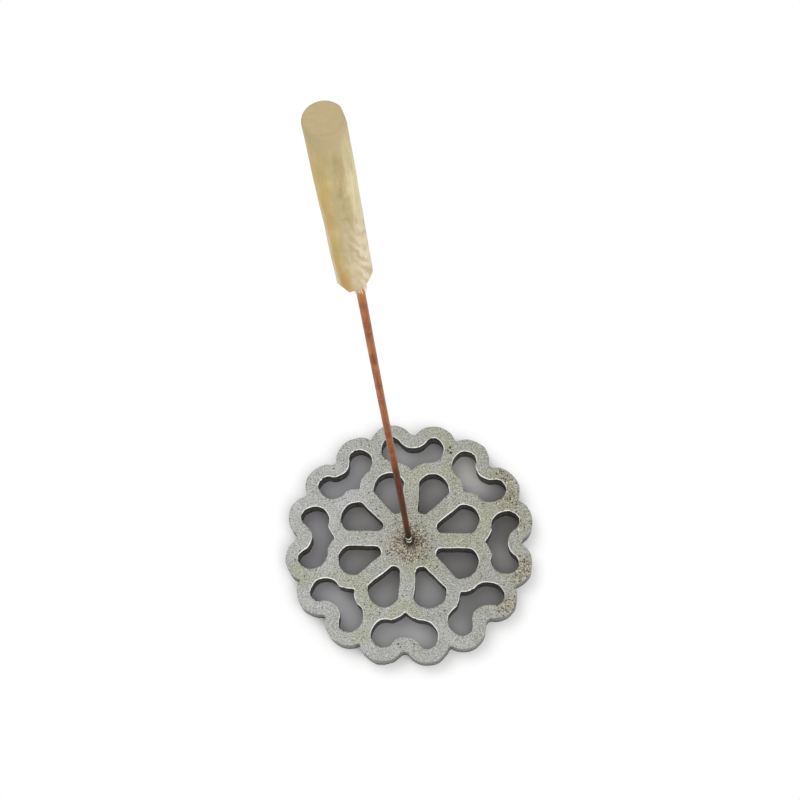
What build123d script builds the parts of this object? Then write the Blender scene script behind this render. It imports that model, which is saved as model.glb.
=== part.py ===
from build123d import *
import math
import os

# Rosette iron: a cast mould, the wire rod that screws into it and a wooden handle.
# The mould lies on its flat underside, its centre at the origin, and the rod stands up along Z.
# Lengths are millimetres and angles are degrees.

# Pattern
petal_count = 8
half_pitch = 180 / petal_count

# Mould. The lobes' circle sets its size. The bands between openings keep their widths when it
# changes, and the petals and openings grow to fill the rest.
lobe_centre_radius = 49.0
lobe_half_angle = 12.1
lobe_overlap = 0.73
mould_thickness = 8.0
mould_draft = 0.22
mould_edge_break = 0.3
rim_band = 6.3
petal_band = 6.7
spoke_width = 7.4
hub_reach = 14.5
petal_centre_share = 0.5653
petal_overlap = 4.0
petal_corner_share = 0.38
window_side_ease = 2.5
window_side_angle = 53.0
window_corner_round = 1.6
window_notch_round = 0.8
scallop_setback = 0.81
scallop_notch_round = 2.4
web_notch_round = 0.8

# Rod
rod_diameter = 2.8
rod_exposed_length = 258.0
rod_end_break = 0.3
rod_foot_recess = 0.6
thread_diameter = 3.0
thread_above_mould = 8.0
thread_end_break = 0.5
thread_relief_diameter = 2.2
thread_relief_width = 0.6
thread_clearance = 0.05
countersink_diameter = 4.6
countersink_depth = 0.7

# Handle
handle_length = 84.0
handle_diameter = 11.6
handle_offset = 0.85
handle_top_break = 0.8
handle_bore_depth = 38.0
handle_bore_clearance = 0.02

# Knife cuts on the ends of the handle. Each is a flat: the way it faces, how far from the end it
# starts, as a share of the handle's diameter, and how many degrees it leans in.
lower_cut_turns = [-20, -74, -128, 150, 100, 42]
lower_cut_reach_shares = [0.58, 0.50, 0.42, 0.50, 0.46, 0.52]
lower_cut_leans = [23, 22, 17, 14, 19, 15]
upper_cut_turns = [20]
upper_cut_reach_shares = [0.34]
upper_cut_leans = [10]

# Room left past a surface by every cutting tool
overrun = 1.0

rod_top = mould_thickness + rod_exposed_length + handle_bore_depth
handle_bottom = mould_thickness + rod_exposed_length
handle_top = handle_bottom + handle_length


def polar(radius, degrees):
    """The point at that distance and angle from the middle of the mould."""
    return Vector(radius, 0).rotate(Axis.Z, degrees)


def arc(centre, start, end):
    """The shorter arc about centre that runs from start to end."""
    middle = (start + end) * 0.5 - centre
    radius = (start - centre).length
    return ThreePointArc(start, centre + middle.normalized() * radius, end)


def mirrored(point):
    """The same point on the other side of the X axis."""
    return Vector(point.X, -point.Y)


def along_line(origin, direction, centre, radius):
    """Where a line leaves a circle."""
    toward = centre - origin
    middle = toward.dot(direction)
    off_line = toward.length**2 - middle**2
    return origin + direction * (middle + math.sqrt(radius**2 - off_line))


def circles_meet(first, first_radius, second, second_radius):
    """Where two circles cross, to the right of the way from the first to the second."""
    between = second - first
    gap = between.length
    along = (gap**2 + first_radius**2 - second_radius**2) / (2 * gap)
    aside = math.sqrt(first_radius**2 - along**2)
    way = between.normalized()
    return first + way * along + way.rotate(Axis.Z, -90) * aside


def round_corner(sketch, corner, radius):
    """Rounds the corner of the sketch that lies nearest to the point."""
    fillet(sketch.vertices().sort_by_distance(corner)[0], radius)


# The lobes of the rim stand two to each window, and the two just run into each other.
lobe_centre = polar(lobe_centre_radius, lobe_half_angle)
lobe_opening_radius = lobe_centre.Y + lobe_overlap - rim_band
scallop_tip_radius = lobe_centre.X - scallop_setback

# Each petal runs into its neighbours.
petal_centre_radius = petal_centre_share * lobe_centre_radius
petal_centre = Vector(petal_centre_radius, 0)
next_petal_centre = polar(petal_centre_radius, half_pitch)
petal_opening_radius = next_petal_centre.Y + petal_overlap - petal_band
petal_corner_round = petal_corner_share * petal_opening_radius


def petal_opening(grow):
    """The teardrop inside a petal, pointing along X, widened by grow on every side."""
    spoke_half = spoke_width / 2 - grow
    slope = math.sin(math.radians(half_pitch))
    inner_x = (hub_reach - grow - spoke_half) / (1 - slope)
    inner_radius = inner_x * slope - spoke_half
    outer_radius = petal_opening_radius + grow
    inner_centre = Vector(inner_x, 0)
    inner_touch = inner_centre + polar(inner_radius, 90 + half_pitch)
    corner = along_line(inner_touch, polar(1, half_pitch), petal_centre, outer_radius)
    inner_tip = Vector(inner_x - inner_radius, 0)
    outer_tip = Vector(petal_centre_radius + outer_radius, 0)
    with BuildSketch() as sketch:
        with BuildLine():
            ThreePointArc(mirrored(inner_touch), inner_tip, inner_touch)
            Line(inner_touch, corner)
            ThreePointArc(corner, outer_tip, mirrored(corner))
            Line(mirrored(corner), mirrored(inner_touch))
        make_face()
        round_corner(sketch, corner, petal_corner_round + grow)
        round_corner(sketch, mirrored(corner), petal_corner_round + grow)
    return sketch.sketch


def window_opening(grow):
    """The scalloped window between the petals and the rim, on X, widened by grow on every side."""
    lobe_radius = lobe_opening_radius + grow
    side_radius = lobe_radius + window_side_ease
    petal_radius = petal_opening_radius + petal_band - grow
    side_centre = lobe_centre - polar(side_radius - lobe_radius, window_side_angle)
    notch_x = petal_centre_radius * math.cos(math.radians(half_pitch))
    notch_y = petal_centre_radius * math.sin(math.radians(half_pitch))
    notch = Vector(notch_x + math.sqrt(petal_radius**2 - notch_y**2), 0)
    corner = circles_meet(next_petal_centre, petal_radius, side_centre, side_radius)
    side_touch = lobe_centre + polar(lobe_radius, window_side_angle)
    scallop_tip = scallop_tip_radius + grow
    past_tip = lobe_centre.X - scallop_tip
    span = past_tip**2 + lobe_centre.Y**2
    scallop_radius = (span - lobe_radius**2) / (2 * (lobe_radius + past_tip))
    scallop_centre = Vector(scallop_tip + scallop_radius, 0)
    scallop_touch = scallop_centre + (lobe_centre - scallop_centre).normalized() * scallop_radius
    lobe_top = lobe_centre + polar(lobe_radius, lobe_half_angle / 2)
    with BuildSketch() as sketch:
        with BuildLine():
            for flip in (False, True):
                place = mirrored if flip else Vector
                arc(place(next_petal_centre), place(notch), place(corner))
                arc(place(side_centre), place(corner), place(side_touch))
                ThreePointArc(place(side_touch), place(lobe_top), place(scallop_touch))
            ThreePointArc(scallop_touch, Vector(scallop_tip, 0), mirrored(scallop_touch))
        make_face()
        round_corner(sketch, notch, window_notch_round + grow)
        round_corner(sketch, corner, window_corner_round + grow)
        round_corner(sketch, mirrored(corner), window_corner_round + grow)
    return sketch.sketch


def rim_outline(grow):
    """The scalloped outline of the whole mould, drawn in by grow."""
    lobe_radius = lobe_opening_radius + rim_band - grow
    reach = math.sqrt(lobe_radius**2 - lobe_centre.Y**2)
    scallop_notch = Vector(lobe_centre.X + reach, 0)
    web_turn = half_pitch - lobe_half_angle
    web_aside = lobe_centre_radius * math.sin(math.radians(web_turn))
    web_along = lobe_centre_radius * math.cos(math.radians(web_turn))
    web_notch = polar(web_along + math.sqrt(lobe_radius**2 - web_aside**2), half_pitch)
    with BuildSketch() as sketch:
        Circle(lobe_centre_radius)
        for window in range(petal_count):
            for side in (-1, 1):
                turn = 2 * half_pitch * window + side * lobe_half_angle
                with Locations(polar(lobe_centre_radius, turn)):
                    Circle(lobe_radius)
        for window in range(petal_count):
            turn = 2 * half_pitch * window
            round_corner(sketch, scallop_notch.rotate(Axis.Z, turn), scallop_notch_round + grow)
            round_corner(sketch, web_notch.rotate(Axis.Z, turn), web_notch_round + grow)
    return sketch.sketch


def drafted(section):
    """The mould's full thickness of a section, with the casting's draft and its broken top edge."""
    levels = [
        (0, mould_draft),
        (mould_thickness - mould_edge_break, 0),
        (mould_thickness, mould_edge_break),
    ]
    return loft([Pos(0, 0, height) * section(grow) for height, grow in levels], ruled=True)


def make_mould():
    """One casting: hub, spokes, petals and scalloped rim, with a tapped hole for the rod."""
    body = drafted(rim_outline)
    petal = drafted(petal_opening)
    window = drafted(window_opening)
    for index in range(petal_count):
        turn = 2 * half_pitch * index
        body -= Rot(0, 0, turn + half_pitch) * petal
        body -= Rot(0, 0, turn) * window
    hole_radius = thread_diameter / 2 + thread_clearance
    hole_height = mould_thickness + 2 * overrun
    body -= Pos(0, 0, mould_thickness / 2) * Cylinder(hole_radius, hole_height)
    sink_radius = countersink_diameter / 2
    sink = Cone(hole_radius, sink_radius, countersink_depth)
    body -= Pos(0, 0, mould_thickness - countersink_depth / 2) * sink
    return body


def revolve_profile(points):
    """A turned solid from its half outline, given as radius and height."""
    with BuildPart() as turned:
        with BuildSketch(Plane.XZ):
            with BuildLine():
                Polyline(*points, close=True)
            make_face()
        revolve(axis=Axis.Z)
    return turned.part


def make_rod():
    """Copper-coated wire: threaded foot, relief groove, long shank and the end inside the handle."""
    shank = rod_diameter / 2
    thread = thread_diameter / 2
    relief = thread_relief_diameter / 2
    thread_top = mould_thickness + thread_above_mould
    relief_top = thread_top + thread_relief_width
    points = [
        (0, rod_foot_recess),
        (thread - thread_end_break, rod_foot_recess),
        (thread, rod_foot_recess + thread_end_break),
        (thread, thread_top),
        (relief, thread_top),
        (relief, relief_top),
        (shank, relief_top + (shank - relief)),
        (shank, rod_top - rod_end_break),
        (shank - rod_end_break, rod_top),
        (0, rod_top),
    ]
    return revolve_profile(points)


def knife_cuts(turns, reach_shares, leans, end_height, outward):
    """The blocks that whittle one end of the handle; outward is 1 at the top and -1 below."""
    size = 2 * handle_diameter
    block = Pos(size / 2, 0, outward * size / 2) * Box(size, size, 2 * size)
    for turn, reach_share, lean in zip(turns, reach_shares, leans):
        start = end_height - outward * reach_share * handle_diameter
        leaning = Rot(0, -outward * lean, 0) * block
        yield Rot(0, 0, turn) * Pos(handle_diameter / 2, 0, start) * leaning


def make_handle():
    """A short wooden stick, blunt above, whittled with flats below and bored for the rod."""
    side = handle_diameter / 2
    points = [
        (0, handle_bottom),
        (side, handle_bottom),
        (side, handle_top - handle_top_break),
        (side - handle_top_break, handle_top),
        (0, handle_top),
    ]
    body = revolve_profile(points)
    body -= [*knife_cuts(lower_cut_turns, lower_cut_reach_shares, lower_cut_leans, handle_bottom, -1)]
    body -= [*knife_cuts(upper_cut_turns, upper_cut_reach_shares, upper_cut_leans, handle_top, 1)]
    body = Pos(-handle_offset, 0, 0) * body
    bore_radius = rod_diameter / 2 + handle_bore_clearance
    bore_height = handle_bore_depth + overrun
    bore = Cylinder(bore_radius, bore_height, align=(Align.CENTER, Align.CENTER, Align.MIN))
    body -= Pos(0, 0, handle_bottom - overrun) * bore
    return body


os.makedirs("parts", exist_ok=True)
export_step(make_mould(), "parts/mould.step")
export_step(make_rod(), "parts/rod.step")
export_step(make_handle(), "parts/handle.step")
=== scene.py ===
import math
import bmesh
import bpy
from mathutils import Matrix, Vector, noise


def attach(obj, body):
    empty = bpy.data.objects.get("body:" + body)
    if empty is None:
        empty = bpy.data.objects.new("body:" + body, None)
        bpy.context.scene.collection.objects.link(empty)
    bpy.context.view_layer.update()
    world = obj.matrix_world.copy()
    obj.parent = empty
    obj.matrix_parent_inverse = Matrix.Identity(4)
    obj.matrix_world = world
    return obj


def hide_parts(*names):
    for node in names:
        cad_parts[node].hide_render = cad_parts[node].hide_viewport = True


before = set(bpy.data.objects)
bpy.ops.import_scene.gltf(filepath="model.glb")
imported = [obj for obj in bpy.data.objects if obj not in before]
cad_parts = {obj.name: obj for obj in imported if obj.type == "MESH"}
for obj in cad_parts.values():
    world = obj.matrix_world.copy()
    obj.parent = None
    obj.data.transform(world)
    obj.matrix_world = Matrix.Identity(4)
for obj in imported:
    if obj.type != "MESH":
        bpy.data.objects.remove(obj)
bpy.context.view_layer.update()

# Rosette iron: a sand-cast aluminium mould, a coppered wire rod with a bare threaded foot and a
# whittled wooden handle. Metres; the mould lies on the floor with its centre at the origin.
# Turns and leans that are named or listed below are in degrees.

MM = 0.001

# The casting's form
sector = 45
mould_top = 8.0 * MM
mould_reach = 58.9 * MM
lobe_circle = 49.0 * MM
lobe_turn = 12.1
lobe_outside = 8.0 * MM
outline_from = 50 * MM
weld_gap = 0.002 * MM
on_face = 0.01 * MM
rim_inset = 0.4 * MM
rim_fall = 0.1 * MM
rim_depth = 0.6 * MM

# How worn its edges are, which also sets how strongly a highlight is painted on them: fully round
# the openings, less on the outline and down the walls, and not round the tapped hole.
outline_wear_and_highlight = 0.45
wall_wear_and_highlight = 0.8
wall_worn = 0.4 * MM
unworn_hub = 5 * MM

# How its pattern strays from the drawn one: the size of each noise and how far it moves a wall.
strays = ((15 * MM, 0.6 * MM), (4.5 * MM, 0.4 * MM))
stray_seed = 8
stray_place = Vector((3.7, 1.2, 0.4))
hub_true = 4 * MM
hub_ease = 8 * MM
grid_step = 3.1 * MM
grid_shift = 0.37
grid_cuts = 18

# The rod
rod_radius = 1.4 * MM
rod_bottom = 0.6 * MM
rod_top = 304 * MM
rod_sides = 32
rod_lengths = 90
rod_chamfer = 0.3 * MM
shoulder = 0.35 * MM
relief_radius = 1.1 * MM
relief_top = 16.6 * MM
sway = 0.12 * MM
sway_waves = (43 * MM, 31 * MM)
sway_ease = 60 * MM

# The rod's thread. Its ridge is a closed half outline of radius and height.
thread_radius = 1.5 * MM
thread_root = 1.28 * MM
thread_top = 16.0 * MM
thread_runout = 0.05 * MM
thread_start = 0.4 * MM
thread_pitch = 0.5 * MM
thread_turns = round((thread_top - rod_bottom - thread_start) / thread_pitch) - 1
thread_sides = 28
ridge_foot = thread_root - 0.05 * MM
thread_ridge = [(ridge_foot, 0), (thread_radius, 0.2 * MM), (thread_radius, 0.27 * MM),
                (ridge_foot, 0.47 * MM)]

# The handle
handle_radius = 5.8 * MM
handle_axis = Vector((-0.85 * MM, 0, 0))
handle_bottom = 266 * MM
handle_top = 350 * MM
handle_sides = 72
handle_slices = 70
top_round = 1.2 * MM
top_steps = 7

# Knife cuts on the handle: the way each faces, how far from the end it starts, as a share of the
# handle's width, and its lean.
lower_cuts = [(-20, 0.58, 23), (-74, 0.50, 22), (-128, 0.42, 17), (150, 0.50, 14),
              (100, 0.46, 19), (42, 0.52, 15)]
upper_cuts = [(20, 0.34, 10)]
cut_angle = 16
cut_round = 0.3 * MM
cut_steps = 3

# How uneven the handle's sides are. Its top and bottom keep their middles.
rough_size = 3.5 * MM
rough_reach = 0.05 * MM
rough_stretch = 0.35
broad_size = 16 * MM
broad_reach = 0.13 * MM
side_fall = 0.1 * MM
even_middle = 3 * MM

# The splinters: where their roots stand, and half their width and thickness there. The shares
# say how far down a splinter its rings are.
splinter_count = 19
splinter_circle = 1.74 * MM
splinter_root = 0.8 * MM
splinter_wide = 0.5 * MM
splinter_thick = 0.24 * MM
splinter_curl = 0.25 * MM
splinter_shares = (0, 0.35, 0.7, 1)


# Modelling

def pick_none():
    """Leaves nothing selected."""
    if bpy.context.object and bpy.context.object.mode != "OBJECT":
        bpy.ops.object.mode_set(mode="OBJECT")
    bpy.ops.object.select_all(action="DESELECT")


def pick(piece):
    """Selects one piece alone."""
    pick_none()
    piece.select_set(True)
    bpy.context.view_layer.objects.active = piece


def edit(piece):
    """Opens a piece in edit mode with nothing selected, and gives its mesh."""
    pick(piece)
    bpy.ops.object.mode_set(mode="EDIT")
    bpy.ops.mesh.select_all(action="DESELECT")
    return bmesh.from_edit_mesh(piece.data)


def close_edit():
    """Leaves edit mode."""
    bpy.ops.object.mode_set(mode="OBJECT")


def cut(place, way, **options):
    """Cuts the whole of the open piece along a plane."""
    bpy.ops.mesh.select_all(action="SELECT")
    bpy.ops.mesh.bisect(plane_co=place, plane_no=way, **options)


def add(name, data):
    """Puts a new object into the scene."""
    made = bpy.data.objects.new(name, data)
    bpy.context.scene.collection.objects.link(made)
    return made


def apply_all(piece):
    """Applies a piece's modifiers in their order."""
    pick(piece)
    for modifier in list(piece.modifiers):
        bpy.ops.object.modifier_apply(modifier=modifier.name)


def settle(piece, name, body, degrees):
    """Names a finished piece, shades it smooth up to that angle and lets it ride on its body."""
    piece.name = name
    piece.data.name = name
    pick(piece)
    bpy.ops.object.transform_apply(location=True, rotation=True, scale=True)
    bpy.ops.object.shade_smooth_by_angle(angle=math.radians(degrees))
    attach(piece, body)


def clamp(value, low=0.0, high=1.0):
    """The value, or the limit that it passes."""
    return max(low, min(high, value))


def flat_place(point):
    """A point's place as seen from above."""
    return Vector((point.x, point.y, 0))


def lobe_turns():
    """Where the rim's sixteen lobes are, two over each window, in radians."""
    for window in range(360 // sector):
        for side in (-1, 1):
            yield math.radians(sector * window + side * lobe_turn)


def copy_node(name):
    """A loose copy of a CAD node, to be worked on."""
    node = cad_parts[name]
    piece = node.copy()
    piece.data = node.data.copy()
    bpy.context.scene.collection.objects.link(piece)
    piece.parent = None
    for key in list(piece.keys()):
        del piece[key]
    return piece


def wear_rims(piece):
    """Lowers the edges round the open piece's selected faces; marks how worn they are, which also
    sets their painted highlight, and marks the outer walls.
    """
    mesh = bmesh.from_edit_mesh(piece.data)
    for name in ("wear", "rind"):
        mesh.verts.layers.float.new(name)
    wear = mesh.verts.layers.float["wear"]
    rind = mesh.verts.layers.float["rind"]
    inner = {vert for face in mesh.faces if face.select for vert in face.verts}
    lobes = [Vector((lobe_circle * math.cos(turn), lobe_circle * math.sin(turn), 0))
             for turn in lobe_turns()]
    for vert in mesh.verts:
        flat = flat_place(vert.co)
        outline = (flat.length > outline_from
                   and min((flat - lobe).length for lobe in lobes) > lobe_outside)
        amount = outline_wear_and_highlight if outline else clamp((flat.length - unworn_hub) / MM)
        vert[rind] = float(outline)
        high = vert.co.z > mould_top - on_face
        if high and vert not in inner:
            vert.co.z -= rim_fall
            vert[wear] = amount
        elif vert.co.z > mould_top - wall_worn and not high:
            vert[wear] = wall_wear_and_highlight * amount
    bmesh.update_edit_mesh(piece.data)


def stray(piece):
    """Moves the open piece's walls off the drawn pattern, except at the hub."""
    mesh = bmesh.from_edit_mesh(piece.data)
    noise.seed_set(stray_seed)
    for vert in mesh.verts:
        flat = flat_place(vert.co)
        ease = clamp((flat.length - hub_true) / hub_ease)
        moved = flat.copy()
        for size, reach in strays:
            moved += flat_place(noise.noise_vector(flat / size + stray_place)) * reach * ease
        for axis in (0, 1):
            vert.co[axis] = clamp(moved[axis], -mould_reach, mould_reach)
    bmesh.update_edit_mesh(piece.data)


def make_mould_casting():
    """The casting: the mould's form, its top edges worn round and its pattern not quite true."""
    piece = copy_node("mould")
    edit(piece)
    bpy.ops.mesh.select_all(action="SELECT")
    bpy.ops.mesh.remove_doubles(threshold=weld_gap)
    for height in (rim_depth, mould_top - rim_depth):
        cut((0, 0, height), (0, 0, 1))
    bpy.ops.mesh.select_all(action="DESELECT")
    bpy.ops.mesh.select_mode(type="FACE")
    mesh = bmesh.from_edit_mesh(piece.data)
    for face in mesh.faces:
        if face.normal.z > 0.99 and face.calc_center_median().z > mould_top - on_face:
            face.select_set(True)
    bmesh.update_edit_mesh(piece.data)
    bpy.ops.mesh.inset(thickness=rim_inset, use_boundary=True, use_even_offset=True)
    wear_rims(piece)
    # The grid comes after the inset, which folds over on cuts that are already there.
    for way in (Vector((1, 0, 0)), Vector((0, 1, 0))):
        for count in range(-grid_cuts, grid_cuts + 1):
            cut(way * grid_step * (count + grid_shift), way)
    stray(piece)
    close_edit()
    settle(piece, "mould_casting", "mould", degrees=25)
    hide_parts("mould")
    return piece


def half_outline(name, points, closed=False):
    """An object of edges alone, through points of radius and height."""
    edges = [(index, index + 1) for index in range(len(points) - 1)]
    if closed:
        edges.append((len(points) - 1, 0))
    mesh = bpy.data.meshes.new(name)
    mesh.from_pydata([(radius, 0, height) for radius, height in points], edges, [])
    return add(name, mesh)


def make_shank():
    """The rod without its thread: turned from its half outline."""
    start = relief_top + shoulder
    length = rod_top - rod_chamfer - start
    points = [(0, rod_bottom), (thread_root - rod_chamfer, rod_bottom),
              (thread_root, rod_bottom + rod_chamfer), (thread_root, thread_top),
              (relief_radius, thread_top + thread_runout), (relief_radius, relief_top)]
    points += [(rod_radius, start + length * index / rod_lengths)
               for index in range(rod_lengths + 1)]
    points += [(rod_radius - rod_chamfer, rod_top), (0, rod_top)]
    shank = half_outline("shank", points)
    edit(shank)
    bpy.ops.mesh.select_all(action="SELECT")
    bpy.ops.mesh.spin(steps=rod_sides, angle=math.tau, center=(0, 0, 0), axis=(0, 0, 1))
    bpy.ops.mesh.select_all(action="SELECT")
    bpy.ops.mesh.remove_doubles(threshold=weld_gap / 2)
    bpy.ops.mesh.normals_make_consistent(inside=False)
    close_edit()
    return shank


def make_thread():
    """The thread's ridge, wound up the foot and closed at both ends."""
    lift = rod_bottom + thread_start
    points = [(radius, lift + height) for radius, height in thread_ridge]
    thread = half_outline("thread", points, closed=True)
    screw = thread.modifiers.new("thread", "SCREW")
    screw.screw_offset = thread_pitch
    screw.iterations = thread_turns
    screw.steps = screw.render_steps = thread_sides
    apply_all(thread)
    mesh = edit(thread)
    ends = [edge for edge in mesh.edges if edge.is_boundary]
    bmesh.ops.holes_fill(mesh, edges=ends, sides=len(thread_ridge))
    bmesh.update_edit_mesh(thread.data)
    bpy.ops.mesh.select_all(action="SELECT")
    bpy.ops.mesh.normals_make_consistent(inside=False)
    close_edit()
    return thread


def make_rod_wire():
    """The rod: a long, very slightly swayed shank with a screwed foot."""
    shank = make_shank()
    thread = make_thread()
    pick(shank)
    thread.select_set(True)
    bpy.ops.object.join()
    mesh = edit(shank)
    for vert in mesh.verts:
        height = vert.co.z
        ease = clamp((height - relief_top) / sway_ease)
        ease *= clamp((handle_bottom - height) / sway_ease)
        vert.co.x += sway * ease * math.sin(height / sway_waves[0])
        vert.co.y += sway * ease * math.sin(height / sway_waves[1] + 1)
    bmesh.update_edit_mesh(shank.data)
    close_edit()
    settle(shank, "rod_wire", "rod_and_handle", degrees=40)
    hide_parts("rod")
    return shank


def whittle(cuts, end, outward):
    """Cuts flats on one end of the open handle, each a plane that leans in towards the end."""
    for turn, share, lean in cuts:
        way = Matrix.Rotation(math.radians(turn), 3, "Z")
        tilt = math.radians(lean)
        point = handle_axis + way @ Vector((handle_radius, 0, 0))
        point.z = end - outward * share * 2 * handle_radius
        normal = way @ Vector((math.cos(tilt), 0, outward * math.sin(tilt)))
        cut(point, normal, use_fill=True, clear_outer=True)


def make_handle_stick():
    """The handle: a stick, rounded over above and whittled below, with slightly uneven sides."""
    pick_none()
    length = handle_top - handle_bottom
    middle = handle_axis + Vector((0, 0, handle_bottom + length / 2))
    bpy.ops.mesh.primitive_cylinder_add(vertices=handle_sides, radius=handle_radius,
                                        depth=length, location=middle)
    piece = bpy.context.object
    bpy.ops.object.transform_apply(location=True)
    mesh = edit(piece)
    for edge in mesh.edges:
        if all(vert.co.z > handle_top - on_face for vert in edge.verts):
            edge.select_set(True)
    bmesh.update_edit_mesh(piece.data)
    bpy.ops.mesh.bevel(offset=top_round, segments=top_steps, profile=0.5, affect="EDGES",
                       clamp_overlap=False)
    whittle(upper_cuts, handle_top, 1)
    whittle(lower_cuts, handle_bottom, -1)
    for index in range(1, handle_slices):
        cut((0, 0, handle_bottom + length * index / handle_slices), (0, 0, 1))
    close_edit()
    soften = piece.modifiers.new("soften", "BEVEL")
    soften.limit_method = "ANGLE"
    soften.angle_limit = math.radians(cut_angle)
    soften.width = cut_round
    soften.segments = cut_steps
    apply_all(piece)
    mesh = edit(piece)
    for vert in mesh.verts:
        out = flat_place(vert.co) - handle_axis
        if out.length < even_middle:
            continue
        stretched = Vector((vert.co.x, vert.co.y, vert.co.z * rough_stretch))
        rough = noise.noise(stretched / rough_size)
        broad = noise.noise(vert.co / broad_size)
        out.normalize()
        vert.co += out * (rough_reach * rough + broad_reach * broad - side_fall)
    bmesh.update_edit_mesh(piece.data)
    close_edit()
    settle(piece, "handle_stick", "rod_and_handle", degrees=35)
    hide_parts("handle")
    return piece


def varied(middle, spread, index, step, row):
    """A measure that differs from one splinter to the next."""
    return middle + spread * noise.noise(Vector((index * step, row, 0)))


def make_splinters():
    """Fibres torn out of the handle's end by the bore, standing round the rod."""
    mesh = bmesh.new()
    for index in range(splinter_count):
        turn = math.tau * varied(index, 0.6, index, 1.7, 0.3) / splinter_count
        length = varied(5.4 * MM, 2.4 * MM, index, 2.3, 5.1)
        flare = varied(0.45 * MM, 0.5 * MM, index, 3.1, 9.4)
        out = Vector((math.cos(turn), math.sin(turn), 0))
        side = Vector((-out.y, out.x, 0))
        rings = []
        for share in splinter_shares:
            middle = out * (splinter_circle + flare * share ** 2)
            middle.z = handle_bottom + splinter_root - length * share
            middle += side * splinter_curl * math.sin(3 * share + index)
            wide = side * splinter_wide * (1 - 0.75 * share)
            thick = out * splinter_thick * (1 - 0.6 * share)
            corners = (-wide - thick, -wide + thick, wide + thick, wide - thick)
            rings.append([mesh.verts.new(middle + corner) for corner in corners])
        for lower, upper in zip(rings, rings[1:]):
            for corner in range(4):
                after = (corner + 1) % 4
                mesh.faces.new((lower[corner], lower[after], upper[after], upper[corner]))
        mesh.faces.new(rings[0])
        mesh.faces.new(rings[-1][::-1])
    bmesh.ops.recalc_face_normals(mesh, faces=mesh.faces)
    data = bpy.data.meshes.new("splinters")
    mesh.to_mesh(data)
    mesh.free()
    piece = add("splinters", data)
    smooth = piece.modifiers.new("smooth", "SUBSURF")
    smooth.levels = smooth.render_levels = 1
    apply_all(piece)
    settle(piece, "splinters", "rod_and_handle", degrees=60)
    return piece


# Finishes

class Socket:
    """A value among a tree's nodes, which takes part in sums."""

    def __init__(self, nodes, output):
        self.nodes = nodes
        self.output = output

    def sum(self, operation, first, second):
        """A Math node's result."""
        return self.nodes.node("ShaderNodeMath", {"operation": operation}, {0: first, 1: second})

    def __add__(self, other):
        return self.sum("ADD", self, other)

    __radd__ = __add__

    def __sub__(self, other):
        return self.sum("SUBTRACT", self, other)

    def __rsub__(self, other):
        return self.sum("SUBTRACT", other, self)

    def __mul__(self, other):
        return self.sum("MULTIPLY", self, other)

    __rmul__ = __mul__

    def __truediv__(self, other):
        return self.sum("DIVIDE", self, other)


class Nodes:
    """A node tree and what fills it."""

    def __init__(self, tree):
        self.tree = tree

    def node(self, kind, settings, inputs, output=0):
        """Adds a node, its settings first and then its values and links, and gives one output."""
        made = self.tree.nodes.new(kind)
        for key, value in settings.items():
            if key == "stops":
                ramp = made.color_ramp
                while len(ramp.elements) < len(value):
                    ramp.elements.new(0.5)
                for element, (position, colour) in zip(ramp.elements, value):
                    element.position = position
                    element.color = (*colour, 1)
            else:
                setattr(made, key, value)
        for key, value in inputs.items():
            if isinstance(value, Socket):
                self.tree.links.new(value.output, made.inputs[key])
            elif made.inputs[key].type == "RGBA":
                made.inputs[key].default_value = (*value, 1)
            else:
                made.inputs[key].default_value = value
        return Socket(self, made.outputs[output])

    def looked_at(self):
        """1 for rays that are seen: from the camera, in a reflection or through glass."""
        seen = self.node("ShaderNodeLightPath", {}, {}, "Is Camera Ray")
        for ray in ("Is Glossy Ray", "Is Transmission Ray"):
            seen = seen.sum("MAXIMUM", seen, self.node("ShaderNodeLightPath", {}, {}, ray))
        return seen


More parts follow.
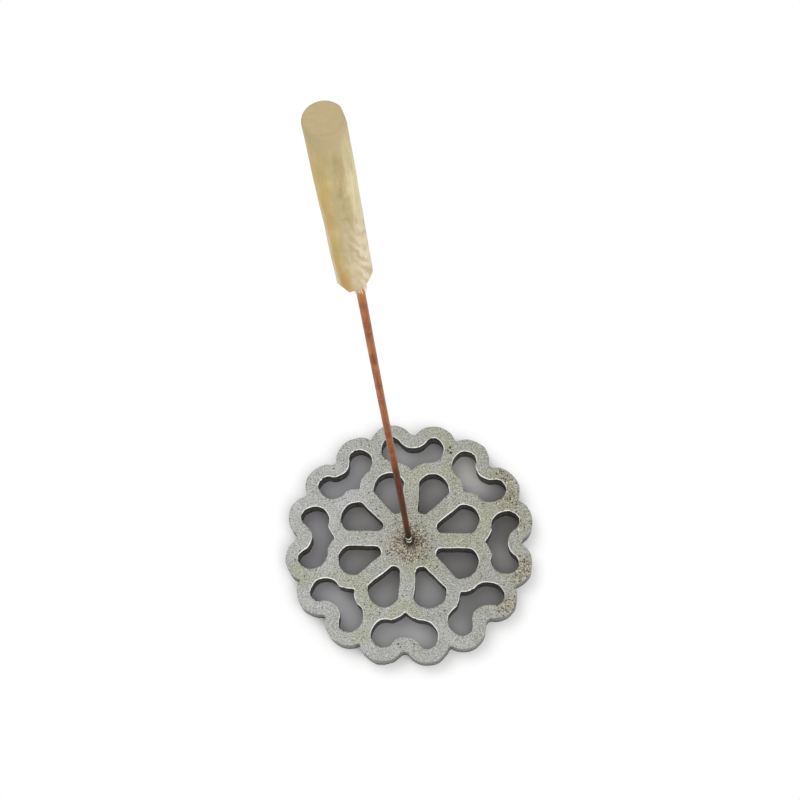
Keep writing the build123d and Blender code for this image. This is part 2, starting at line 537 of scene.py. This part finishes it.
class Finish(Nodes):
    """One material: its shader and the nodes that vary it."""

    def __init__(self, name, **constants):
        self.material = bpy.data.materials.new(name)
        self.material.use_nodes = True
        super().__init__(self.material.node_tree)
        self.shader = self.tree.nodes["Principled BSDF"]
        for socket, value in constants.items():
            self.shader.inputs[socket.replace("_", " ")].default_value = value
        self.place = self.node("ShaderNodeTexCoord", {}, {}, "Object")

    def part(self, vector, axis):
        """One coordinate of a vector."""
        return self.node("ShaderNodeSeparateXYZ", {}, {0: vector}, axis)

    def facing(self, axis):
        """How far the surface faces an axis, -1 to 1."""
        return self.part(self.node("ShaderNodeTexCoord", {}, {}, "Normal"), axis)

    def grain(self, size, detail=2.0, roughness=0.5, along=1.0):
        """Noise whose features are about that size in metres, drawn out along Z by 1 / along."""
        place = self.place
        if along != 1.0:
            place = self.node("ShaderNodeMapping", {}, {"Vector": place, "Scale": (1, 1, along)})
        inputs = {"Vector": place, "Scale": 1 / size, "Detail": detail, "Roughness": roughness}
        return self.node("ShaderNodeTexNoise", {}, inputs)

    def step(self, value, low, high):
        """0 on low's side, 1 on high's, eased between."""
        settings = {"interpolation_type": "SMOOTHSTEP"}
        inputs = {"Value": value, "From Min": low, "From Max": high}
        return self.node("ShaderNodeMapRange", settings, inputs)

    def mix(self, amount, first, second):
        """Two colours mixed."""
        inputs = {0: amount, 6: first, 7: second}
        return self.node("ShaderNodeMix", {"data_type": "RGBA"}, inputs, 2)

    def band(self, value, half):
        """1 where the value is near 0, fading out about that far away."""
        return self.step(value.sum("ABSOLUTE", value, 0), half * 1.4, half * 0.5)

    def near(self, centre, radius, softness):
        """1 within radius of a point, fading to 0 over softness."""
        inputs = {0: self.place, 1: centre}
        away = self.node("ShaderNodeVectorMath", {"operation": "DISTANCE"}, inputs, "Value")
        return 1 - self.step(away, radius, radius + softness)

    def spot(self, x, y, radius, fade):
        """A soft patch on the mould's top, all in millimetres."""
        return self.near((x * MM, y * MM, mould_top), radius * MM, fade * MM)

    def spots(self, places):
        """Several soft patches on the mould's top, where they meet the stronger one."""
        total = self.spot(*places[0])
        for place in places[1:]:
            total = total.sum("MAXIMUM", total, self.spot(*place))
        return total

    def stipple(self, size, share, shift):
        """Ragged dots about that size apart, in that share of the places where one may be."""
        place = self.node("ShaderNodeMapping", {}, {"Vector": self.place, "Location": shift})
        inputs = {"Vector": place, "Scale": 1 / size}
        away = self.node("ShaderNodeTexVoronoi", {}, inputs)
        ragged = away + (self.grain(size * 0.4) - 0.5) * 0.9
        chance = self.part(self.node("ShaderNodeTexVoronoi", {}, inputs, "Color"), 0)
        return self.step(ragged, 0.56, 0.3) * self.step(share - chance, -0.02, 0.02)

    def mark(self, name):
        """A value that the mesh carries at its corners."""
        return self.node("ShaderNodeAttribute", {"attribute_name": name}, {}, "Fac")

    def bump(self, height, distance, strength):
        """The surface's direction with a height added."""
        inputs = {"Height": height, "Distance": distance, "Strength": strength}
        return self.node("ShaderNodeBump", {}, inputs)

    def set(self, socket, value):
        """Links a value to one of the shader's sockets."""
        self.tree.links.new(value.output, self.shader.inputs[socket])


def srgb(*levels):
    """A colour as a paint chart gives it, 0 to 255, made linear."""
    return tuple((level / 255 / 12.92) if level < 11 else ((level / 255 + 0.055) / 1.055) ** 2.4
                 for level in levels)


# Places on the mould's top, in millimetres: x, y, radius and fade.
hub_centre = (0.2, -1.5)
greened = [(27, 0, 5, 9), (38, 11, 4, 10), (43, 24, 5, 10), (12, 50, 3, 10), (-29, -22, 5, 12),
           (-20, -32, 4, 12), (-2, -36, 3, 10), (-20, -47, 2, 7), (2, 34, 3, 10), (20, 34, 3, 10),
           (-48, -18, 3, 10), (6, -14, 3, 8)]
browned = [(43, 31, 3, 7), (46, 22, 3, 7), (54, -12, 2.5, 6), (53, -17, 2, 5), (48, -31, 2.5, 6),
           (52, 11, 1, 7)]
# Three pits, shown only as dots of painted shade.
shaded_pits = [(18.2, 47.6, 0.35, 0.5), (18.6, 44.9, 0.45, 0.5), (17.2, 46.0, 0.3, 0.4)]


def finish_cast_aluminium():
    """Sand-cast aluminium: a grainy grey face, soiled in places, walls painted dark with shade and
    worn rims with a painted highlight.
    """
    f = Finish("cast_aluminium", Metallic=0.3, IOR=1.45)
    height = f.part(f.place, 2)
    sand = f.grain(0.58 * MM, 2.0, 0.6)
    grit = f.grain(1.9 * MM, 2.0, 0.6)
    cloud = f.grain(14 * MM, 3.0, 0.6)

    # The bare face: paler to the left and greener to the right, round the hub and in spots.
    side = f.part(f.place, 0) * 0.85 + f.part(f.place, 1) * 0.5
    side = f.step(side + (cloud - 0.5) * 50 * MM, -20 * MM, 42 * MM)
    face = f.mix(side, srgb(164, 165, 164), srgb(150, 150, 140))
    face = f.mix(f.spot(-50, 12, 8, 26) * 0.5, face, srgb(178, 179, 180))
    face = f.mix(f.step(cloud, 0.38, 0.62) * 0.5, face, srgb(144, 145, 138))
    face = f.mix(f.spot(0, 0, 14, 22) * 0.5, face, srgb(144, 144, 126))
    green = f.step(f.spots(greened) + (cloud - 0.5) * 1.2, 0.1, 1.1)
    face = f.mix(green * 0.75, face, srgb(148, 150, 128))

    # Soil from the hub outwards and on the right-hand lobes, then the sand's light and dark.
    soil = f.step(f.spot(*hub_centre, 1.0, 15.5) + (cloud - 0.5) * 0.5, 0.0, 1.0)
    soiled = f.spots(browned)
    face = f.mix(soil * 0.7, face, srgb(132, 115, 89))
    face = f.mix(soiled * 0.5, face, srgb(132, 122, 92))
    face = f.mix(f.step(sand, 0.5, 0.7) * 0.75, face, srgb(202, 203, 195))
    face = f.mix(f.step(sand, 0.5, 0.3) * 0.85, face, srgb(90, 89, 77))

    # Dots: large and dark, small and brown, then pale ones; soot with painted shade round the
    # rod's foot, and three pits as dots of painted shade.
    dark = f.stipple(1.05 * MM, 0.02 + 0.9 * (soil + soiled * 0.5), (0.3, 0.1, 0.0))
    face = f.mix(dark * 0.9, face, srgb(56, 37, 25))
    brown = f.stipple(0.75 * MM, 0.5 * soil, (0.2, 0.6, 0.4))
    face = f.mix(brown * 0.8, face, srgb(78, 50, 35))
    pale = f.stipple(0.85 * MM, 0.01 + 0.28 * soil + 0.08 * soiled, (0.7, 0.4, 0.2))
    face = f.mix(pale * 0.7, face, srgb(218, 210, 188))
    # Soot round the rod's foot, partly painted shade of its countersink.
    soot_and_shade = f.spot(0.5, -0.8, 2.2, 2.6) * f.step(grit, 0.34, 0.56)
    face = f.mix(soot_and_shade * 0.95, face, srgb(44, 25, 17))
    face = f.mix(f.spots(shaded_pits), face, srgb(50, 48, 42))

    # Worn rims with a painted highlight, brightest where they face the viewer and broken up by the
    # grit.
    facing_highlight = f.step(f.facing(1), 0.12, -0.12)
    broken = 1.2 * grit + f.grain(7 * MM, 2.0, 0.6) - 0.1
    rim_wear_and_highlight = f.step(f.mark("wear") * (0.45 + 0.65 * facing_highlight) * broken, 0.42, 1.15)
    face = f.mix(rim_wear_and_highlight * 0.85, face, srgb(232, 233, 228))

    # The walls, painted with shade: the openings' walls dark, darkest under the rim and at the
    # foot, and the outline's paler walls dark at the foot.
    depth = height + (grit - 0.5) * 3 * MM
    shaded_wall = f.mix(f.step(sand + grit, 0.75, 1.25), srgb(56, 51, 45), srgb(112, 107, 99))
    shaded_wall = f.mix(f.step(depth, 5.2 * MM, 6.8 * MM) * 0.8, shaded_wall, srgb(36, 31, 26))
    shaded_wall = f.mix(f.step(depth, 1.8 * MM, 0.8 * MM) * 0.6, shaded_wall, srgb(44, 42, 39))
    shaded_flank = f.mix(f.step(sand, 0.35, 0.65), srgb(96, 96, 90), srgb(142, 142, 135))
    shaded_flank = f.mix(f.step(height, 3.4 * MM, 1.6 * MM) * 0.75, shaded_flank, srgb(56, 54, 50))
    shaded_wall = f.mix(f.mark("rind"), shaded_wall, shaded_flank)

    # Surfaces that face up take the face's colour; the rest take the walls' painted shade.
    up = f.step(f.facing(2), 0.3, 0.85)
    f.set("Base Color", f.mix(up, shaded_wall, face))
    f.set("Roughness", 0.6 - 0.15 * rim_wear_and_highlight + 0.15 * (sand - 0.5))
    f.set("Normal", f.bump(sand, 0.16 * MM, 0.6))
    return f.material


def finish_coppered_wire():
    """Copper-coated steel wire: bright above, browned by heat below, with a bare threaded foot."""
    f = Finish("coppered_wire", Specular_IOR_Level=0.2)
    height = f.part(f.place, 2)
    streak = f.grain(0.9 * MM, 3.0, 0.6, along=0.06)
    blotch = f.grain(8 * MM, 3.0, 0.65)
    streaked = f.step(streak, 0.35, 0.65)

    copper = f.mix(streaked, srgb(184, 111, 53), srgb(148, 80, 31))
    copper = f.mix(f.step(blotch, 0.48, 0.62) * 0.6, copper, srgb(134, 67, 30))
    copper = f.mix(f.step(height, 248 * MM, 262 * MM) * 0.8, copper, srgb(190, 130, 74))
    brown = f.mix(streaked, srgb(148, 73, 41), srgb(104, 45, 21))
    heated = height + (blotch - 0.5) * 30 * MM
    shank = f.mix(f.step(heated, 105 * MM, 114 * MM), brown, copper)
    shank = f.mix(f.step(heated, 36 * MM, 22 * MM) * 0.85, shank, srgb(64, 36, 22))

    # The foot: the thread almost black above, and bare steel below with one dark ring painted
    # across it, so that a band above and one below read as painted highlights.
    threaded = f.step(height, relief_top + 0.5 * MM, relief_top)
    black = f.mix(f.step(height, 15.0 * MM, 14.6 * MM), srgb(46, 31, 23), srgb(6, 4, 3))
    shank = f.mix(threaded, shank, black)
    steel = f.mix(f.step(streak, 0.4, 0.6), srgb(236, 231, 222), srgb(168, 158, 144))
    # A dark ring painted across the bare steel, so that the bands above and below it read as
    # highlights.
    painted_dark_ring = f.step(height, 8.6 * MM, 9.4 * MM) * f.step(height, 12.2 * MM, 11.4 * MM)
    steel = f.mix(painted_dark_ring * 0.9, steel, srgb(52, 42, 32))
    bare = 1 - f.step(height, 13.2 * MM, 13.5 * MM)

    f.set("Base Color", f.mix(bare, shank, steel))
    f.set("Metallic", 0.95 - 0.75 * threaded + 0.75 * bare)
    f.set("Roughness", 0.3 + 0.2 * blotch)
    f.set("Normal", f.bump(streak, 0.05 * MM, 0.4))
    return f.material


def finish_pale_wood():
    """Pale whittled wood: orange down one side, olive down the middle, cream on the other; the
    darker left and paler right are partly painted shade and light.
    """
    f = Finish("pale_wood", Roughness=0.62)
    height = f.part(f.place, 2)
    across = (f.part(f.place, 0) - handle_axis.x) / handle_radius
    fibre = f.grain(0.55 * MM, 3.0, 0.6, along=0.06)
    band = f.grain(2.4 * MM, 2.0, 0.5, along=0.06)
    blotch = f.grain(6 * MM, 3.0, 0.6)
    mottle = f.grain(3.4 * MM, 3.0, 0.6, along=0.35)

    # The ground colour goes by the place across the handle, in radii, with a wandering edge. It
    # runs from darker on the left to paler on the right, partly as painted shade and light.
    wander = across + (band - 0.5) * 0.9 + (blotch - 0.5) * 0.4
    stops = [(0.08, srgb(212, 191, 140)), (0.26, srgb(202, 175, 102)),
             (0.42, srgb(192, 172, 118)), (0.56, srgb(186, 169, 121)),
             (0.8, srgb(188, 170, 121)), (0.93, srgb(220, 207, 164))]
    body = f.node("ShaderNodeValToRGB", {"stops": stops}, {0: wander * 0.5 + 0.5})
    # Low down it is paler towards the right, partly painted light from that side, and on the far
    # left too.
    low = f.step(height + (blotch - 0.5) * 20 * MM, 318 * MM, 290 * MM)
    body = f.mix(low * f.step(wander, -0.25, 0.15) * 0.8, body, srgb(208, 190, 153))
    body = f.mix(low * f.step(across, 0.3, 0.75) * 0.8, body, srgb(228, 213, 184))
    body = f.mix(low * f.step(wander, -0.6, -0.9) * 0.6, body, srgb(226, 208, 166))
    body = f.mix(f.step(height, 328 * MM, 342 * MM) * 0.5, body, srgb(186, 168, 122))

    # Streaks: two orange ones that lean, an olive one in patches and a short leafy one.
    orange = f.band(wander + 0.42 + (height - 287 * MM) * 7.5, 0.22)
    orange = orange * f.step(height, 348 * MM, 322 * MM)
    body = f.mix(orange * 0.75, body, srgb(204, 166, 92))
    burnt = f.band(wander + 0.3 + (height - 271 * MM) * 9, 0.16)
    burnt = burnt * f.step(height, 287 * MM, 276 * MM)
    body = f.mix(burnt * 0.7, body, srgb(190, 144, 84))
    olive = f.band(wander + (blotch - 0.5) * 1.1 - 0.48, 0.2) * f.step(across, 0.75, 0.4)
    olive = olive * f.step(height, 345 * MM, 338 * MM) * f.step(height, 302 * MM, 310 * MM)
    olive = olive * (0.2 + 0.35 * f.step(mottle, 0.42, 0.62))
    body = f.mix(olive, body, srgb(158, 142, 88))
    leafy = f.band(wander + 0.35, 0.14) * f.band(height - 294 * MM, 7 * MM)
    body = f.mix(leafy * 0.6, body, srgb(190, 172, 92))

    # Slanting ripples low down on the right, then the fibres and the mottle over it all.
    slope = height + f.part(f.place, 0) * 3.4 + (blotch - 0.5) * 9 * MM + (band - 0.5) * 3 * MM
    slant = f.node("ShaderNodeMath", {"operation": "SINE"}, {0: slope * (math.tau / (6.6 * MM))})
    slant = f.step(slant, -1, 1) * f.step(across, -0.1, 0.4) * f.step(height, 318 * MM, 295 * MM)
    slant = slant * (0.3 + 0.5 * f.step(mottle, 0.35, 0.6))
    body = f.mix(slant, body, srgb(188, 168, 131))
    body = f.mix(f.step(fibre, 0.5, 0.7) * 0.3, body, srgb(172, 147, 98))
    body = f.mix(f.step(mottle, 0.5, 0.72) * 0.35, body, srgb(166, 148, 100))
    body = f.mix(f.step(mottle, 0.5, 0.3) * 0.3, body, srgb(226, 209, 160))
    patch = f.near((0.2 * MM, -5.4 * MM, 269 * MM), 1.0 * MM, 2.4 * MM)
    body = f.mix(patch * 0.55, body, srgb(214, 180, 146))

    # The upper end: greyer, and its cut face darker.
    body = f.mix(f.step(height, 342 * MM, 348.5 * MM) * 0.85, body, srgb(184, 166, 124))
    cap = f.step(height, handle_top - 2 * MM, handle_top - 1 * MM) * f.step(f.facing(2), 0.2, 0.95)
    end_grain = f.mix(f.grain(1.5 * MM, 3.0), srgb(157, 140, 102), srgb(173, 156, 116))
    f.set("Base Color", f.mix(cap * 0.9, body, end_grain))
    f.set("Normal", f.bump(fibre, 0.08 * MM, 0.5))
    return f.material


def finish_torn_wood():
    """Torn fibres, paler than the whittled wood."""
    f = Finish("torn_wood", Roughness=0.8)
    torn = f.step(f.grain(0.8 * MM, 3.0, 0.6), 0.35, 0.65)
    f.set("Base Color", f.mix(torn, srgb(228, 204, 176), srgb(194, 158, 124)))
    return f.material


def dress(piece, material):
    """Gives a piece one material."""
    piece.data.materials.clear()
    piece.data.materials.append(material)


mould = make_mould_casting()
rod = make_rod_wire()
handle = make_handle_stick()
splinters = make_splinters()
dress(mould, finish_cast_aluminium())
dress(rod, finish_coppered_wire())
dress(handle, finish_pale_wood())
dress(splinters, finish_torn_wood())
for node, slot in (("mould", mould), ("rod", rod), ("handle", handle)):
    dress(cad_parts[node], slot.data.materials[0])


# Setting

floor_size = 1.8
floor_drop = 0.4 * MM
white_from = 68 * MM
white_to = 150 * MM
mat_drop = 0.2 * MM
mat_reach = 47.6 * MM
mat_lobe = 9.6 * MM
mat_corners = 720
room_light = 0.7
lamps = (("key", (-0.5, 0.45, 1.15), 0.8, 4.5), ("fill", (0.55, -0.6, 1.15), 0.9, 6.0))
lamp_target = Vector((0, 0, 0.1))

# The camera: its place, the way it stands from what it looks at, its roll and its lens in mm.
camera_place = (0.0453, -0.1957, 0.6262)
camera_azimuth = 11.16
camera_elevation = 66.13
camera_roll = -9.34
camera_lens = 60.78

# Painted light and shade on the mat: x and y in millimetres, strength and colour.
mat_light_and_shade = [(24, 39, 0.7, (186, 185, 180)), (-38, 32, 0.6, (168, 167, 172)),
             (-41, -26, 0.5, (172, 171, 174)), (47, 15, 0.6, (100, 97, 95)),
             (38, -29, 0.5, (122, 121, 120)), (22, -9, 0.5, (104, 103, 102)),
             (9, 27, 0.4, (106, 105, 103)), (12, -28, 0.5, (154, 154, 154))]


def finish_white_floor():
    """A white that takes the shadow near the mould and is pure white to the viewer far off."""
    f = Finish("white_floor", Roughness=0.9, Base_Color=(0.96, 0.96, 0.96, 1),
               Specular_IOR_Level=0.0)
    away = f.node("ShaderNodeVectorMath", {"operation": "LENGTH"}, {0: f.place}, "Value")
    far = f.step(away, white_from, white_to)
    white = f.node("ShaderNodeEmission", {}, {"Color": (1.0, 1.0, 1.0)})
    inputs = {0: far * f.looked_at(), 1: Socket(f, f.shader.outputs[0]), 2: white}
    blend = f.node("ShaderNodeMixShader", {}, inputs)
    f.tree.links.new(blend.output, f.tree.nodes["Material Output"].inputs["Surface"])
    return f.material


def finish_grey_mat():
    """A grey with painted light and shade: darkest in the middle, lighter towards the front, and
    soft patches of both where the openings show it.
    """
    f = Finish("grey_mat", Roughness=0.9)
    away = f.part(f.place, 1)
    outward = f.step(away.sum("ABSOLUTE", away, 0), 12 * MM, 42 * MM)
    shade = f.mix(outward, srgb(131, 130, 129), srgb(157, 156, 158))
    left = f.step(f.part(f.place, 0), -20 * MM, -52 * MM)
    shade = f.mix(left * 0.6, shade, srgb(148, 146, 152))
    shade = f.mix(f.step(away, -30 * MM, -48 * MM), shade, srgb(172, 171, 173))
    # Soft patches of painted light and shade.
    for x, y, strength, colour in mat_light_and_shade:
        patch_light = f.near((x * MM, y * MM, 0), 6 * MM, 14 * MM)
        shade = f.mix(patch_light * strength, shade, srgb(*colour))
    f.set("Base Color", shade)
    return f.material


def make_floor():
    """A white floor, and a grey mat under the mould that shows only through its openings."""
    pick_none()
    bpy.ops.mesh.primitive_plane_add(size=floor_size, location=(0, 0, -floor_drop))
    floor = bpy.context.object
    floor.name = "floor"
    dress(floor, finish_white_floor())
    pick_none()
    bpy.ops.mesh.primitive_circle_add(vertices=mat_corners, radius=1, fill_type="NGON",
                                      location=(0, 0, -mat_drop))
    mat = bpy.context.object
    mat.name = "mat"
    for vert in mat.data.vertices:
        turn = math.atan2(vert.co.y, vert.co.x)
        reach = mat_reach
        for lobe in lobe_turns():
            across = lobe_circle * math.sin(turn - lobe)
            along = lobe_circle * math.cos(turn - lobe)
            if abs(across) < mat_lobe and along > 0:
                reach = max(reach, along + math.sqrt(mat_lobe ** 2 - across ** 2))
        vert.co.x *= reach
        vert.co.y *= reach
    dress(mat, finish_grey_mat())


def make_room():
    """White all round to the viewer, and a softer white as a light."""
    world = bpy.data.worlds.new("room")
    bpy.context.scene.world = world
    world.use_nodes = True
    room = Nodes(world.node_tree)
    room.tree.nodes.clear()
    seen = room.node("ShaderNodeBackground", {}, {"Color": (1, 1, 1), "Strength": 1.0})
    lit = room.node("ShaderNodeBackground", {}, {"Color": (1, 1, 1), "Strength": room_light})
    blend = room.node("ShaderNodeMixShader", {}, {0: room.looked_at(), 1: lit, 2: seen})
    out = room.tree.nodes.new("ShaderNodeOutputWorld")
    room.tree.links.new(blend.output, out.inputs["Surface"])


def make_lamps():
    """A key light from behind on the left and a fill from the front on the right."""
    for name, place, size, power in lamps:
        data = bpy.data.lights.new(name, "AREA")
        data.size = size
        data.energy = power
        lamp = add(name, data)
        lamp.location = place
        lamp.rotation_euler = (lamp_target - Vector(place)).to_track_quat("-Z", "Y").to_euler()


def make_camera():
    """The camera, at the place and with the lens that were fitted to the photo."""
    azimuth = math.radians(camera_azimuth)
    elevation = math.radians(camera_elevation)
    roll = math.radians(camera_roll)
    back = Vector((math.sin(azimuth) * math.cos(elevation),
                   -math.cos(azimuth) * math.cos(elevation), math.sin(elevation)))
    right = Vector((math.cos(azimuth), math.sin(azimuth), 0))
    up = back.cross(right)
    right_rolled = math.cos(roll) * right + math.sin(roll) * up
    up_rolled = -math.sin(roll) * right + math.cos(roll) * up
    data = bpy.data.cameras.new("camera")
    data.lens = camera_lens
    data.sensor_width = 36
    data.clip_start = 0.01
    data.clip_end = 20
    camera = add("camera", data)
    turn = Matrix((right_rolled, up_rolled, back)).transposed().to_4x4()
    camera.matrix_world = Matrix.Translation(camera_place) @ turn
    bpy.context.scene.camera = camera


make_floor()
make_room()
make_lamps()
make_camera()
bpy.context.scene.view_settings.view_transform = "Standard"
